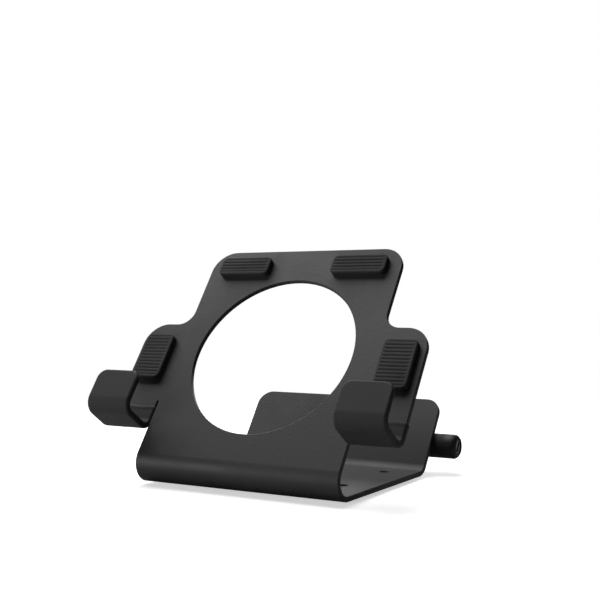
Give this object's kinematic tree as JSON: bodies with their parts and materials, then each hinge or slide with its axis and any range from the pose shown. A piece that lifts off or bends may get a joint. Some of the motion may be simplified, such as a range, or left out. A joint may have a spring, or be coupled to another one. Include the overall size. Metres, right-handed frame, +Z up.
{
  "type": "tablet stand",
  "caption": "Desk stand of one bent black steel sheet: leaning support plate with a round cutout, rubber-dipped hooks for a tablet's edge, a rear wall and a keyed lock.",
  "frame": {"origin": "centre of the four fixing holes, on the underside of the bottom plate", "axes": "+Z up; +X to the right as the user sees the stand, along its width; -Y towards the user"},
  "size_m": [0.1604, 0.1264, 0.1138],
  "materials": {
    "powder_coat": "satin black powder coat",
    "dipped_rubber": "matte dipped rubber",
    "pad_rubber": "matte",
    "lock_coating": "satin black",
    "collar_plastic": "matte black",
    "zinc_steel": "zinc plated",
    "lock_brass": "machined",
    "core_black": "burnished black",
    "nylon": "matte"
  },
  "bodies": {
    "stand": {"stand_body": "powder_coat", "left_hook_coat": "dipped_rubber", "right_hook_coat": "dipped_rubber", "left_lower_pad": "pad_rubber", "right_lower_pad": "pad_rubber", "left_upper_pad": "pad_rubber", "right_upper_pad": "pad_rubber", "front_left_foot": "pad_rubber", "front_right_foot": "pad_rubber", "rear_left_foot": "pad_rubber", "rear_right_foot": "pad_rubber", "lock_bracket": "powder_coat", "bracket_studs": "zinc_steel", "bracket_washers": "zinc_steel", "bracket_nuts": "zinc_steel", "lock_barrel": "lock_coating", "lock_washer": "nylon", "locating_pins": "zinc_steel", "lock_collar": "collar_plastic", "cable_bush": "lock_coating"},
    "core": {"lock_core": "core_black", "lock_wafers": "lock_brass", "core_clip": "zinc_steel", "locking_bar": "zinc_steel"}
  },
  "joints": [
    {"name": "key_turn", "type": "hinge", "parent": "stand", "child": "core", "pos_m": [0.054, 0.05247, 0.01291], "axis": [1, 0, 0], "range_deg": [0, 90]}
  ]
}
